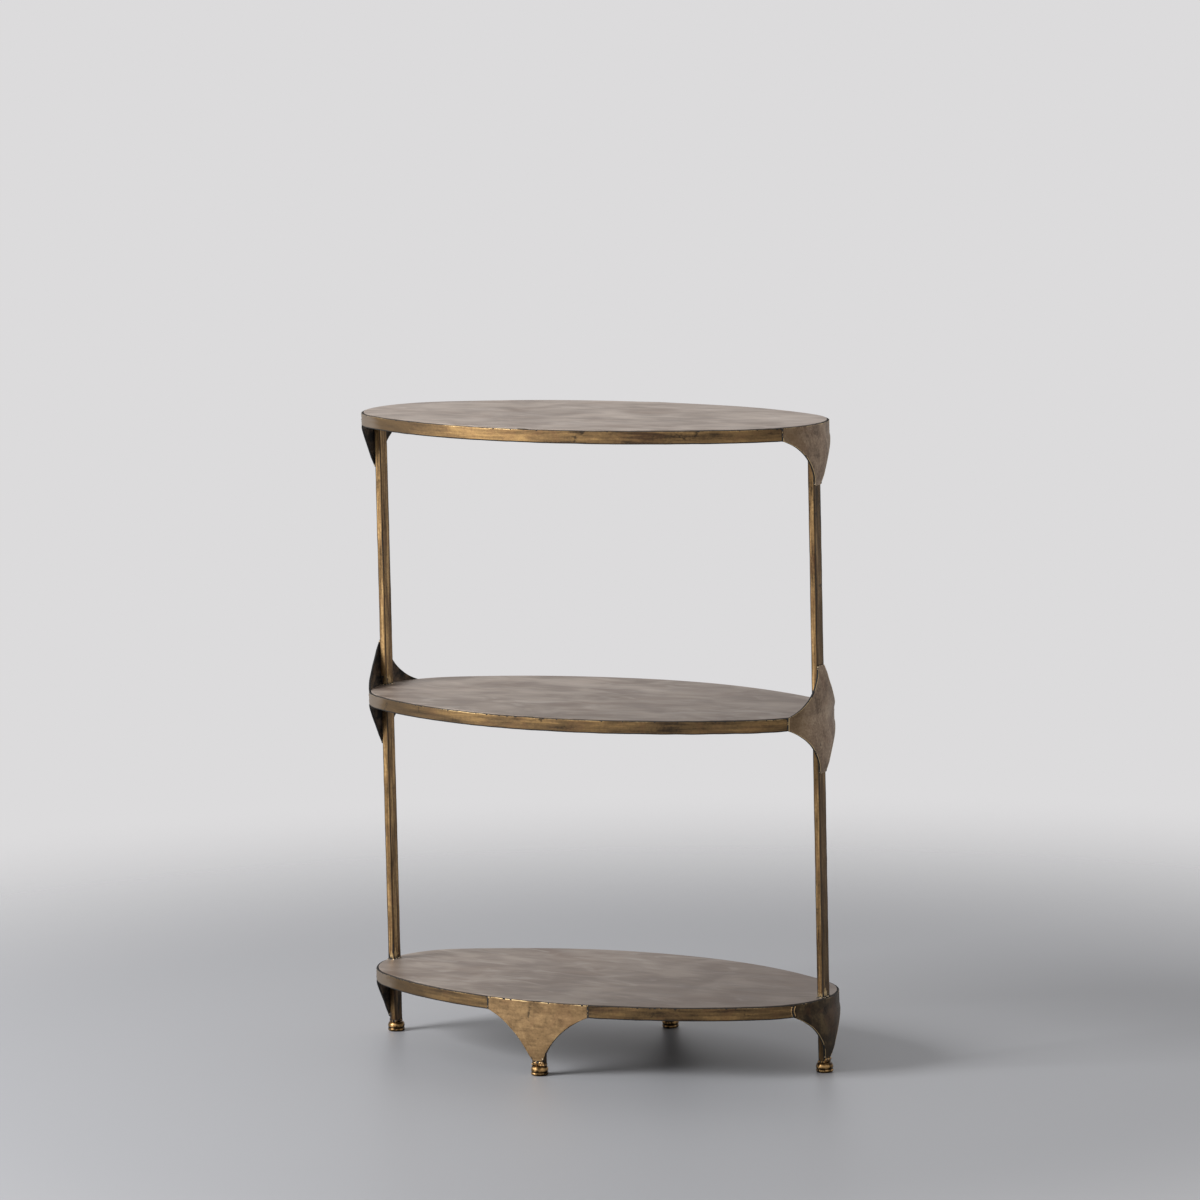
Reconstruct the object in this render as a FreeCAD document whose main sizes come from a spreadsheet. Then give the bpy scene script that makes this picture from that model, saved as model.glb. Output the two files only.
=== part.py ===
import FreeCAD, Part
import os
import Sketcher
from enum import IntEnum
from FreeCAD import Placement, Rotation, Vector
from itertools import combinations
from math import atan2, pi

# Oval three-tier shelf, welded from sheet, strip and flat bar
#
# Three oval sheet-metal shelves lie in upright edge bands. Where the band stops,
# a gusset of the same sheet takes its place: it follows the oval as the band does,
# and narrows in two hollow curves to the width of the flat bar that is welded behind
# its tip. Two posts join each pair of shelves, and four short legs end in turned feet.
# Each oval is drawn with four arcs, two tight ones at the ends and two wide ones along
# the sides, so that every ring inside another keeps an even distance from it.
#
# Frame: millimetres, origin on the floor under the middle of the shelves, +Z up,
# +X along the length of the ovals and -Y towards the front.

doc = FreeCAD.newDocument("oval_shelf")

# Driving sizes: name, millimetres, meaning
DRIVING_SIZES = [
    ("shelf_length", 760, "ovals, end to end over the bands"),
    ("shelf_depth", 404, "ovals, front to back over the bands"),
    ("end_curve", 130, "radius of the ovals' ends, over the bands"),
    ("bottom_height", 112, "floor to the bottom shelf's upper face"),
    ("tier_spacing", 422, "from one shelf's upper face to the next"),
    ("sheet", 3, "thickness of the bands and gussets"),
    ("band_height", 19, "height of the bands' strip"),
    ("root_gap", 0.5, "gap between a band and a gusset, which the weld fills"),
    ("plate_thickness", 2.5, "thickness of the shelf plates"),
    ("plate_rise", 1, "plate's upper face above the band's upper edge"),
    ("plate_gap", 0.3, "all round between a plate and its band"),
    ("bar_width", 20, "flat bar of the posts and legs, wide side"),
    ("bar_thickness", 10, "flat bar of the posts and legs, narrow side"),
    ("bar_bevel", 0.8, "broken long edges of the flat bar"),
    ("bar_gap", 0.3, "from the bar's outer corners to the gusset before it"),
    ("end_gusset_width", 140, "left and right gussets, across the band"),
    ("end_gusset_curve", 105, "radius of their hollow edges"),
    ("side_gusset_width", 170, "front and back gussets, across the band"),
    ("side_gusset_curve", 130, "radius of their hollow edges"),
    ("gusset_reach", 70, "from the band's edge to the tip of a post gusset"),
    ("bare_leg", 7.5, "bare bar between a leg gusset's tip and the foot"),
    ("foot_height", 14.5, "turned foot, floor to its flat top"),
    ("foot_base_radius", 9.7, "flat that stands on the floor"),
    ("lip_radius", 12.9, "foot's lip, its widest place"),
    ("lip_rise", 3.2, "floor to the lip"),
    ("lip_height", 1.6, "the lip's upright face"),
    ("drum_radius", 12.2, "foot's straight part over the lip"),
    ("drum_rise", 5.4, "floor to that part"),
    ("shoulder_height", 1.5, "sloped shoulder under the foot's flat top"),
    ("foot_land", 0.1, "foot's flat top beyond the corners of the bar"),
    ("cut_overrun", 5, "how far a cutting solid runs past what it cuts"),
]

sizes = doc.addObject("Spreadsheet::Sheet", "Sizes")
for row, (alias, number, meaning) in enumerate(DRIVING_SIZES, start=1):
    sizes.set("A%d" % row, alias)
    sizes.set("B%d" % row, str(number))
    sizes.setAlias("B%d" % row, alias)
    sizes.set("C%d" % row, meaning)
doc.recompute()

# Lengths worked out from the driving sizes, as expressions on the sheet
HALF_LENGTH = "Sizes.shelf_length / 2"
HALF_DEPTH = "Sizes.shelf_depth / 2"
SIDE_CURVE = ("((({0})^2 - 2 * {0} * Sizes.end_curve + ({1})^2) / (2 * ({1} - Sizes.end_curve)))"
              .format(HALF_LENGTH, HALF_DEPTH))
END_CENTRE = "(%s - Sizes.end_curve)" % HALF_LENGTH
SIDE_CENTRE = "(%s - %s)" % (HALF_DEPTH, SIDE_CURVE)
HALF_BAR = "Sizes.bar_width / 2"
BAND_DROP = "(Sizes.plate_rise + Sizes.band_height)"
LEG_REACH = "(Sizes.bottom_height - %s - Sizes.bare_leg - Sizes.foot_height)" % BAND_DROP
FOOT_TOP_RADIUS = "sqrt(Sizes.bar_width^2 + Sizes.bar_thickness^2) / 2 + Sizes.foot_land"

TIERS = ["bottom", "middle", "top"]


def tier_top(tier):
    """Height of a shelf's upper face"""
    return "(Sizes.bottom_height + %d * Sizes.tier_spacing)" % TIERS.index(tier)


def band_foot(tier):
    """Height of the lower edge of a shelf's band"""
    return "(%s - %s)" % (tier_top(tier), BAND_DROP)


def plate_underside(tier):
    """Height of a shelf plate's lower face"""
    return "(%s - Sizes.plate_thickness)" % tier_top(tier)


def bar_centre(arc_centre, curve):
    """Distance of a bar's middle from the middle of the oval. The bar's outer corners
    come up to the curved inner face of the gusset before it"""
    corner = "(%s + sqrt((%s - Sizes.sheet)^2 - (%s)^2))" % (arc_centre, curve, HALF_BAR)
    return "(%s - Sizes.bar_gap - Sizes.bar_thickness / 2)" % corner


END_BAR = bar_centre(END_CENTRE, "Sizes.end_curve")
SIDE_BAR = bar_centre(SIDE_CENTRE, SIDE_CURVE)

# Common helpers

# A sketch numbers the points of an edge from 1, and its own axes from -1 downwards
START, END, CENTRE = IntEnum("PointOfEdge", "START END CENTRE")
X_AXIS, Y_AXIS = (-axis for axis in IntEnum("SketchAxis", "X_AXIS Y_AXIS"))
SHEET_ORIGIN = (X_AXIS, START)

nodes = []


def value(expression):
    """The number that an expression on the sheet comes to"""
    return float(sizes.evalExpression(expression))


def sub_part(item, label):
    """Name a finished piece and put it on the list of those that are written out"""
    item.Label = label
    nodes.append(item)


def place(item, x="0", y="0", z="0", turn=Rotation()):
    """Put an item at a place given by expressions, turned as told"""
    item.Placement = Placement(Vector(0, 0, 0), turn)
    for axis, expression in (("x", x), ("y", y), ("z", z)):
        item.setExpression("Placement.Base." + axis, expression)


def body_sketch(body, plane, name):
    """A sketch on one of a body's own origin planes"""
    sketch = body.newObject("Sketcher::SketchObject", name)
    features = body.Origin.OriginFeatures
    support = next(item for item in features if item.Role == plane)
    sketch.AttachmentSupport = [(support, "")]
    sketch.MapMode = "FlatFace"
    return sketch


def relate(sketch, kind, *where):
    """Add a constraint that has no size"""
    sketch.addConstraint(Sketcher.Constraint(kind, *where))


def dimension(sketch, name, expression, kind, *where):
    """Add a named size to a sketch and tie it to an expression"""
    constraint = Sketcher.Constraint(kind, *where, value(expression))
    sketch.renameConstraint(sketch.addConstraint(constraint), name)
    sketch.setExpression("Constraints." + name, expression)


def draw(sketch, edges):
    """Add named lines and arcs, join the ends that meet, and return their numbers"""
    numbers = {name: sketch.addGeometry(edge) for name, edge in edges.items()}
    ends = [(number, end) for number in numbers.values() for end in (START, END)]
    for one, other in combinations(ends, 2):
        apart = sketch.getPoint(*one).distanceToPoint(sketch.getPoint(*other))
        if apart < Part.Precision.confusion():
            relate(sketch, "Coincident", *one, *other)
    return numbers


def line(start, end):
    return Part.LineSegment(Vector(*start, 0), Vector(*end, 0))


def arc(start, end, radius):
    """Counter-clockwise arc of under half a circle from one point to another"""
    start, end = Vector(*start, 0), Vector(*end, 0)
    chord = end - start
    left = Vector(-chord.y, chord.x, 0).normalize()
    centre = (start + end) / 2 + left * (radius ** 2 - chord.dot(chord) / 4) ** 0.5
    return Part.Arc(start, centre - left * radius, end)


# Ovals: four arcs, tangent where they meet

def draw_oval(sketch, inset):
    """Draw the oval that lies a given distance inside the bands' outer face"""
    end_centre, side_centre = value(END_CENTRE), value(SIDE_CENTRE)
    end_radius = "Sizes.end_curve - %s" % inset
    side_radius = "%s - %s" % (SIDE_CURVE, inset)
    join = atan2(-side_centre, end_centre)
    outline = []
    for x, y, radius, start, end in (
            (end_centre, 0, end_radius, -join, join),
            (0, side_centre, side_radius, join, pi - join),
            (-end_centre, 0, end_radius, pi - join, pi + join),
            (0, -side_centre, side_radius, pi + join, 2 * pi - join)):
        circle = Part.Circle(Vector(x, y, 0), Vector(0, 0, 1), value(radius))
        outline.append(sketch.addGeometry(Part.ArcOfCircle(circle, start, end)))
    right, back, left, front = outline
    for one, following in zip(outline, outline[1:] + outline[:1]):
        relate(sketch, "Tangent", one, END, following, START)
    relate(sketch, "PointOnObject", right, CENTRE, X_AXIS)
    relate(sketch, "PointOnObject", back, CENTRE, Y_AXIS)
    relate(sketch, "Symmetric", right, CENTRE, left, CENTRE, *SHEET_ORIGIN)
    relate(sketch, "Equal", front, back)
    dimension(sketch, "end_centres", "2 * %s" % END_CENTRE, "DistanceX",
              left, CENTRE, right, CENTRE)
    dimension(sketch, "end_radius", end_radius, "Radius", right)
    dimension(sketch, "side_radius", side_radius, "Radius", back)


# Shelf plates: an oval lies inside its band, a little proud of it

def shelf_plate(tier):
    name = tier + "_plate"
    body = doc.addObject("PartDesign::Body", name)
    sketch = body_sketch(body, "XY_Plane", name + "_outline")
    draw_oval(sketch, "(Sizes.sheet + Sizes.plate_gap)")
    pad = body.newObject("PartDesign::Pad", name + "_sheet")
    pad.Profile = sketch
    pad.setExpression("Length", "Sizes.plate_thickness")
    place(body, z=plate_underside(tier))
    sub_part(body, name)


for tier in TIERS:
    shelf_plate(tier)


# Oval wall: bands and gussets are windows cut out of it, on their band's own height

def oval_prism(name, inset, base, height):
    outline = doc.addObject("Sketcher::SketchObject", name + "_outline")
    draw_oval(outline, inset)
    place(outline, z=base)
    prism = doc.addObject("Part::Extrusion", name)
    prism.Base = outline
    prism.DirMode = "Normal"
    prism.Solid = True
    prism.setExpression("LengthFwd", height)
    return prism


def oval_wall(name, base, height):
    wall = doc.addObject("Part::Cut", name)
    wall.Base = oval_prism(name + "_outside", "0", base, height)
    wall.Tool = oval_prism(name + "_inside", "Sizes.sheet", base, height)
    return wall


def cut_out(name, wall, window, tier):
    """The part of an oval wall inside a window, at the height of a shelf's band"""
    piece = doc.addObject("Part::Common", name)
    piece.Base = wall
    piece.Tool = window
    place(piece, z=band_foot(tier))
    sub_part(piece, name)


# Bands: strip that stops a root gap short of every gusset

band_wall = oval_wall("band_wall", "0", "Sizes.band_height")


def band(tier, side, x_span, y_span):
    name = "%s_band_%s" % (tier, side)
    window = doc.addObject("Part::Box", name + "_window")
    window.setExpression("Length", "%s - (%s)" % (x_span[1], x_span[0]))
    window.setExpression("Width", "%s - (%s)" % (y_span[1], y_span[0]))
    window.setExpression("Height", "Sizes.band_height + 2 * Sizes.cut_overrun")
    place(window, x=x_span[0], y=y_span[0], z="-Sizes.cut_overrun")
    cut_out(name, band_wall, window, tier)


FAR_X = "(%s + Sizes.cut_overrun)" % HALF_LENGTH
FAR_Y = "(%s + Sizes.cut_overrun)" % HALF_DEPTH
NEAR_X = "(Sizes.side_gusset_width / 2 + Sizes.root_gap)"
NEAR_Y = "(Sizes.end_gusset_width / 2 + Sizes.root_gap)"
DEPTH_SPANS = {"front": ("-" + FAR_Y, "-" + NEAR_Y), "back": (NEAR_Y, FAR_Y)}
LENGTH_SPANS = {"left": ("-" + FAR_X, "-" + NEAR_X), "right": (NEAR_X, FAR_X)}

for side, y_span in DEPTH_SPANS.items():
    for tier in ("top", "middle"):
        band(tier, side, ("-" + FAR_X, FAR_X), y_span)
    for end, x_span in LENGTH_SPANS.items():
        band("bottom", "%s_%s" % (side, end), x_span, y_span)


# Gussets: the outline is drawn square on and cut through the oval wall

GUSSET_TURNS = {
    "right": Rotation(Vector(0, 1, 0), Vector(0, 0, 1), Vector(1, 0, 0)),
    "left": Rotation(Vector(0, -1, 0), Vector(0, 0, 1), Vector(-1, 0, 0)),
    "front": Rotation(Vector(1, 0, 0), Vector(0, 0, 1), Vector(0, -1, 0)),
    "back": Rotation(Vector(-1, 0, 0), Vector(0, 0, 1), Vector(0, 1, 0)),
}

LONGEST_REACH = "(Sizes.gusset_reach + %s)" % LEG_REACH
gusset_wall = oval_wall("gusset_wall", "-" + LONGEST_REACH,
                        "Sizes.band_height + 2 * " + LONGEST_REACH)


def gusset_outline(name, width, curve, reach_down, reach_up):
    """Straight seams over the band's height, then hollow edges to a tip as wide as the bar.
    The band's lower edge lies on the sketch's X axis; no reach up means a straight top"""
    half_width, half_tip, radius = value(width) / 2, value(HALF_BAR), value(curve)
    head = value("Sizes.band_height")
    low_tip = -value(reach_down)
    edges = {
        "low_tip": line((-half_tip, low_tip), (half_tip, low_tip)),
        "low_right": arc((half_width, 0), (half_tip, low_tip), radius),
        "seam_right": line((half_width, 0), (half_width, head)),
        "seam_left": line((-half_width, 0), (-half_width, head)),
        "low_left": arc((-half_tip, low_tip), (-half_width, 0), radius),
    }
    if reach_up:
        high_tip = head + value(reach_up)
        edges["high_tip"] = line((-half_tip, high_tip), (half_tip, high_tip))
        edges["high_right"] = arc((half_tip, high_tip), (half_width, head), radius)
        edges["high_left"] = arc((-half_width, head), (-half_tip, high_tip), radius)
    else:
        edges["top"] = line((-half_width, head), (half_width, head))

    sketch = doc.addObject("Sketcher::SketchObject", name)
    edge = draw(sketch, edges)
    relate(sketch, "Vertical", edge["seam_right"])
    relate(sketch, "PointOnObject", edge["seam_right"], START, X_AXIS)
    for end in (START, END):
        relate(sketch, "Symmetric", edge["seam_left"], end, edge["seam_right"], end, Y_AXIS)
    relate(sketch, "Symmetric", edge["low_tip"], START, edge["low_tip"], END, Y_AXIS)
    relate(sketch, "Equal", edge["low_left"], edge["low_right"])
    dimension(sketch, "width", width, "DistanceX",
              edge["seam_left"], START, edge["seam_right"], START)
    dimension(sketch, "band_height", "Sizes.band_height", "DistanceY",
              edge["seam_right"], START, edge["seam_right"], END)
    dimension(sketch, "tip_width", "Sizes.bar_width", "DistanceX",
              edge["low_tip"], START, edge["low_tip"], END)
    dimension(sketch, "reach_down", reach_down, "DistanceY",
              edge["low_tip"], END, edge["seam_right"], START)
    dimension(sketch, "curve", curve, "Radius", edge["low_right"])
    if reach_up:
        relate(sketch, "Symmetric", edge["high_tip"], START, edge["high_tip"], END, Y_AXIS)
        relate(sketch, "Vertical", edge["low_tip"], END, edge["high_tip"], END)
        relate(sketch, "Equal", edge["low_right"], edge["high_right"])
        relate(sketch, "Equal", edge["high_right"], edge["high_left"])
        dimension(sketch, "reach_up", reach_up, "DistanceY",
                  edge["seam_right"], END, edge["high_tip"], END)
    return sketch


def gusset(tier, side, kind, reach_down, reach_up=None):
    name = "%s_gusset_%s" % (tier, side)
    width = "Sizes.%s_gusset_width" % kind
    curve = "Sizes.%s_gusset_curve" % kind
    outline = gusset_outline(name + "_outline", width, curve, reach_down, reach_up)
    place(outline, turn=GUSSET_TURNS[side])
    window = doc.addObject("Part::Extrusion", name + "_window")
    window.Base = outline
    window.DirMode = "Normal"
    window.Solid = True
    window.setExpression("LengthFwd", FAR_X)
    cut_out(name, gusset_wall, window, tier)


for side in ("left", "right"):
    gusset("top", side, "end", "Sizes.gusset_reach")
    gusset("middle", side, "end", "Sizes.gusset_reach", "Sizes.gusset_reach")
    gusset("bottom", side, "end", LEG_REACH)
for side in ("front", "back"):
    gusset("bottom", side, "side", LEG_REACH)


# Posts and legs: lengths of flat bar, wide face outwards, butted between the plates

CORNERS = {
    "left": ("-" + END_BAR, "0", Rotation(Vector(0, 0, 1), -90)),
    "right": (END_BAR, "0", Rotation(Vector(0, 0, 1), 90)),
    "front": ("0", "-" + SIDE_BAR, Rotation()),
    "back": ("0", SIDE_BAR, Rotation(Vector(0, 0, 1), 180)),
}


def flat_bar(name, corner, base, top):
    half_width, half_thickness = value("Sizes.bar_width") / 2, value("Sizes.bar_thickness") / 2
    low_left, low_right = (-half_width, -half_thickness), (half_width, -half_thickness)
    high_left, high_right = (-half_width, half_thickness), (half_width, half_thickness)
    body = doc.addObject("PartDesign::Body", name)
    sketch = body_sketch(body, "XY_Plane", name + "_section")
    edge = draw(sketch, {
        "inner": line(high_left, high_right),
        "outer": line(low_left, low_right),
        "left": line(low_left, high_left),
        "right": line(low_right, high_right),
    })
    relate(sketch, "Horizontal", edge["inner"])
    relate(sketch, "Horizontal", edge["outer"])
    relate(sketch, "Vertical", edge["left"])
    relate(sketch, "Vertical", edge["right"])
    relate(sketch, "Symmetric", edge["outer"], START, edge["inner"], END, *SHEET_ORIGIN)
    dimension(sketch, "width", "Sizes.bar_width", "DistanceX",
              edge["outer"], START, edge["outer"], END)
    dimension(sketch, "thickness", "Sizes.bar_thickness", "DistanceY",
              edge["right"], START, edge["right"], END)
    pad = body.newObject("PartDesign::Pad", name + "_length")
    pad.Profile = sketch
    pad.setExpression("Length", "%s - %s" % (top, base))
    doc.recompute()
    long_edges = ["Edge%d" % number for number, item in enumerate(pad.Shape.Edges, start=1)
                  if item.BoundBox.ZLength > pad.Shape.BoundBox.ZLength / 2]
    bevel = body.newObject("PartDesign::Chamfer", name + "_bevel")
    bevel.Base = (pad, long_edges)
    bevel.setExpression("Size", "Sizes.bar_bevel")
    x, y, turn = CORNERS[corner]
    place(body, x, y, base, turn)
    sub_part(body, name)


for corner in ("left", "right"):
    flat_bar("lower_post_" + corner, corner, tier_top("bottom"), plate_underside("middle"))
    flat_bar("upper_post_" + corner, corner, tier_top("middle"), plate_underside("top"))
for corner in CORNERS:
    flat_bar("leg_" + corner, corner, "Sizes.foot_height", plate_underside("bottom"))


# Feet: turned, with a lip, a drum over it and a sloped shoulder up to the end of the bar

FOOT_PROFILE = [
    ("base", "Sizes.foot_base_radius", "0"),
    ("lip_foot", "Sizes.lip_radius", "Sizes.lip_rise"),
    ("lip_head", "Sizes.lip_radius", "Sizes.lip_rise + Sizes.lip_height"),
    ("drum_foot", "Sizes.drum_radius", "Sizes.drum_rise"),
    ("drum_head", "Sizes.drum_radius", "Sizes.foot_height - Sizes.shoulder_height"),
    ("top", FOOT_TOP_RADIUS, "Sizes.foot_height"),
]


def foot(corner):
    name = "foot_" + corner
    body = doc.addObject("PartDesign::Body", name)
    sketch = body_sketch(body, "XZ_Plane", name + "_profile")
    rim = [(value(radius), value(rise)) for _, radius, rise in FOOT_PROFILE]
    outline = [(0, 0), *rim, (0, rim[-1][1])]
    edge = draw(sketch, {number: line(start, end) for number, (start, end)
                         in enumerate(zip(outline, outline[1:] + outline[:1]))})
    relate(sketch, "Coincident", edge[0], START, *SHEET_ORIGIN)
    relate(sketch, "Horizontal", edge[0])
    relate(sketch, "Horizontal", edge[len(rim)])
    relate(sketch, "Vertical", edge[len(rim) + 1])
    for number, (point, radius, rise) in enumerate(FOOT_PROFILE):
        dimension(sketch, point + "_radius", radius, "DistanceX",
                  *SHEET_ORIGIN, edge[number], END)
        if number:
            dimension(sketch, point + "_rise", rise, "DistanceY",
                      *SHEET_ORIGIN, edge[number], END)
    turned = body.newObject("PartDesign::Revolution", name + "_turned")
    turned.Profile = sketch
    turned.ReferenceAxis = (sketch, ["V_Axis"])
    x, y, turn = CORNERS[corner]
    place(body, x, y, turn=turn)
    sub_part(body, name)


for corner in CORNERS:
    foot(corner)

# Check every object and every finished piece, then write the pieces

doc.recompute()
for item in doc.Objects:
    if "Invalid" in item.State or "Error" in item.State:
        raise RuntimeError("%s did not build: %s" % (item.Name, item.State))
for node in nodes:
    if node.Shape.isNull() or not node.Shape.isValid() or len(node.Shape.Solids) != 1:
        raise RuntimeError("%s is not one sound solid" % node.Label)

os.makedirs("parts", exist_ok=True)
for node in nodes:
    node.Shape.exportStep("parts/%s.step" % node.Label)
    print("%-26s %9.1f mm3" % (node.Label, node.Shape.Volume))
print(len(nodes), "pieces written")
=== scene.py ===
# %% [markdown]
# A three-tier oval shelf, welded from steel sheet, strip and flat bar, with an antiqued
# gold-brown patina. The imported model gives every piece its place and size. This script
# gives each piece the form that a metalworker's hands leave: cut flat on the bench,
# filed along its edges, rolled to the oval, welded, stained and rubbed.

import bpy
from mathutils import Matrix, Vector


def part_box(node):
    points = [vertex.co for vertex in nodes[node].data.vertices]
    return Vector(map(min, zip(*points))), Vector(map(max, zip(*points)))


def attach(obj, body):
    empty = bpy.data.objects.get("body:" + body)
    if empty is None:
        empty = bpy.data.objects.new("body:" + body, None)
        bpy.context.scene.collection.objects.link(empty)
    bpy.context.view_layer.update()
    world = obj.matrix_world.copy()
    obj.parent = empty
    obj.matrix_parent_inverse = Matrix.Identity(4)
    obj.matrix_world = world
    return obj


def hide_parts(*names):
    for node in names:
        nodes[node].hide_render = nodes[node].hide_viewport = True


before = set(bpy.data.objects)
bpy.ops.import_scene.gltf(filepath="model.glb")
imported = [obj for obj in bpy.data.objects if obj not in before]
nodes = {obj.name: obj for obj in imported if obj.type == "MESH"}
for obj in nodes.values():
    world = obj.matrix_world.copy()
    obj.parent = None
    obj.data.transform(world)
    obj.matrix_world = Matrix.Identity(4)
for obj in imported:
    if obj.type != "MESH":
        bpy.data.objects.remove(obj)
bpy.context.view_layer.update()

# %% Tools of the script
import random
from math import asin, atan2, ceil, cos, pi, radians, sin

import bpy
import numpy as np
from mathutils import Matrix, Vector, noise

MILLIMETRE = 0.001
TIERS = ("top", "middle", "bottom")
SIDES = ("right", "back", "left", "front")
SEED = 11
draw = random.Random(SEED)
noise.seed_set(SEED)


def span(node, axis):
    """Lowest and highest place of a node along an axis, 0 to 2 for X to Z"""
    low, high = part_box(node)
    return low[axis], high[axis]


print("top plate between heights", [round(height, 4) for height in span("top_plate", 2)])

# %% [markdown]
# The camera stands low, to the right of the shelf's front, and far away, so that the
# ovals look almost level and hardly narrow towards the back. A long lens does that. The
# photograph is tilted a little, so the camera is rolled by the same small angle.

# %% Camera
AIM = Vector((-0.0062, 0.0214, 0.6773))
AZIMUTH, ELEVATION, ROLL = radians(30.59), radians(7.47), radians(-1.28)
DISTANCE = 9.253
LENS = 186.8
FAR_LIMIT = 100

turn = (Matrix.Rotation(AZIMUTH, 4, "Z") @ Matrix.Rotation(pi / 2 - ELEVATION, 4, "X")
        @ Matrix.Rotation(ROLL, 4, "Z"))
bpy.ops.object.camera_add()
camera = bpy.context.object
camera.data.lens = LENS
camera.data.clip_end = FAR_LIMIT
camera.matrix_world = Matrix.Translation(AIM + turn.to_3x3() @ Vector((0, 0, DISTANCE))) @ turn
bpy.context.scene.camera = camera
print("camera at", [round(number, 3) for number in camera.location])

# %% [markdown]
# Every oval is four arcs: two tight ones at the ends and two wide ones along the sides.
# An ellipse would look much the same, but arcs are what a workshop bends, and their
# lengths are known exactly, which the strips need. The wide arcs' radius follows from the
# other three sizes, because the arcs are tangent where they meet.

# %% The arcs
END_RADIUS = 0.130
HALF_LENGTH = (span("top_gusset_right", 0)[1] - span("top_gusset_left", 0)[0]) / 2
HALF_DEPTH = (span("top_band_back", 1)[1] - span("top_band_front", 1)[0]) / 2
SHEET = 0.003

END_CENTRE = HALF_LENGTH - END_RADIUS
SIDE_RADIUS = (END_CENTRE ** 2 + HALF_DEPTH ** 2 - END_RADIUS ** 2) / (2 * (HALF_DEPTH - END_RADIUS))
SIDE_CENTRE = HALF_DEPTH - SIDE_RADIUS
JOIN = atan2(-SIDE_CENTRE, END_CENTRE)
ARC_ANGLES = np.cumsum([0, JOIN, pi - 2 * JOIN, 2 * JOIN, pi - 2 * JOIN, JOIN])
ARC_RADII = [END_RADIUS, SIDE_RADIUS, END_RADIUS, SIDE_RADIUS, END_RADIUS]
ARC_STARTS = np.cumsum([0, *(np.diff(ARC_ANGLES) * ARC_RADII)])
GIRTH = ARC_STARTS[-1]
print("oval %.3f by %.3f m, wide arcs %.3f m, girth %.3f m"
      % (2 * HALF_LENGTH, 2 * HALF_DEPTH, SIDE_RADIUS, GIRTH))

# %% [markdown]
# A place on the oval is named by how far along the outer face it lies, from the right end
# round by the back. One function says which way the face looks there, and another gives
# the place itself, so that every piece can be laid round the same line.

# %% Places on the oval
def oval_point(angle, inset=0.0):
    """Place on the oval where its face looks towards an angle, moved inwards by an inset"""
    angle = angle % (2 * pi)
    if JOIN < angle < pi - JOIN:
        x, y, radius = 0, SIDE_CENTRE, SIDE_RADIUS
    elif pi + JOIN < angle < 2 * pi - JOIN:
        x, y, radius = 0, -SIDE_CENTRE, SIDE_RADIUS
    else:
        x, y, radius = (END_CENTRE if cos(angle) > 0 else -END_CENTRE), 0, END_RADIUS
    return Vector((x + (radius - inset) * cos(angle), y + (radius - inset) * sin(angle)))


def facing(distance):
    """Angle that the oval's face looks towards at a distance along it"""
    return float(np.interp(distance % GIRTH, ARC_STARTS, ARC_ANGLES))


MIDDLES = {side: quarter * GIRTH / 4 for quarter, side in enumerate(SIDES)}
print("middle of each side:", {side: round(place, 4) for side, place in MIDDLES.items()})

# %% [markdown]
# Small helpers for modelling. An operator acts on all that is selected, so every step
# starts with nothing selected, and faces and edges are picked in code.

# %% Picking what an operator works on
LEVEL = 0.99


def edit(piece, kind):
    """Open one piece for editing, with nothing selected in it"""
    if bpy.context.object and bpy.context.object.mode == "EDIT":
        bpy.ops.object.mode_set(mode="OBJECT")
    bpy.ops.object.select_all(action="DESELECT")
    piece.select_set(True)
    bpy.context.view_layer.objects.active = piece
    bpy.ops.object.mode_set(mode="EDIT")
    bpy.ops.mesh.select_mode(type=kind)
    bpy.ops.mesh.select_all(action="DESELECT")


def close():
    bpy.ops.object.mode_set(mode="OBJECT")


def pick(piece, kind, test):
    """Open a piece and select its vertices, edges or faces that pass a test"""
    edit(piece, kind)
    close()
    items = {"VERT": piece.data.vertices, "EDGE": piece.data.edges, "FACE": piece.data.polygons}[kind]
    for item in items:
        item.select = bool(test(item))
    bpy.ops.object.mode_set(mode="EDIT")


def looks_out(face):
    """Whether a face of a flat blank looks out of it"""
    return face.normal.z > LEVEL


# %% [markdown]
# A finish has to know where a piece is rubbed or sooty, and where it gets a painted
# highlight or painted shade. That could be painted by hand, vertex after vertex, but the rule
# for each is plain, so it is written as a function of the vertex and its result is kept as an
# attribute. The map says how the blank lay before it was rolled, so that streaks follow the
# metal.

# %% Numbers and a map on the surface
def remember(piece, name, value):
    """Keep a number at every vertex, for the finish to read"""
    kept = piece.data.attributes.get(name) or piece.data.attributes.new(name, "FLOAT", "POINT")
    kept.data.foreach_set("value", [value(vertex) for vertex in piece.data.vertices])


def lay_map(piece, flat=lambda x, y, z: (x, y)):
    """UV map in metres: along the flat blank, and up it"""
    if not piece.data.uv_layers:
        piece.data.uv_layers.new(name="along")
    uv = piece.data.uv_layers[0]
    uv.name = "along"
    for loop in piece.data.loops:
        uv.data[loop.index].uv = flat(*piece.data.vertices[loop.vertex_index].co)


# %% Shaping a piece
SHARP_EDGE = radians(50)
ARRIS_FACES = 3


def start(name):
    """Name the primitive that was just added and fix its size and place in its mesh"""
    piece = bpy.context.object
    piece.name = piece.data.name = name
    bpy.ops.object.transform_apply(location=True, rotation=True, scale=True)
    return piece


def finish_modifiers(piece):
    """Apply every modifier in order"""
    bpy.ops.object.select_all(action="DESELECT")
    bpy.context.view_layer.objects.active = piece
    piece.select_set(True)
    for modifier in list(piece.modifiers):
        bpy.ops.object.modifier_apply(modifier=modifier.name)


def soften(piece, angle=40):
    """Smooth shading, except over edges sharper than an angle"""
    bpy.ops.object.select_all(action="DESELECT")
    bpy.context.view_layer.objects.active = piece
    piece.select_set(True)
    bpy.ops.object.shade_smooth_by_angle(angle=radians(angle))


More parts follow.
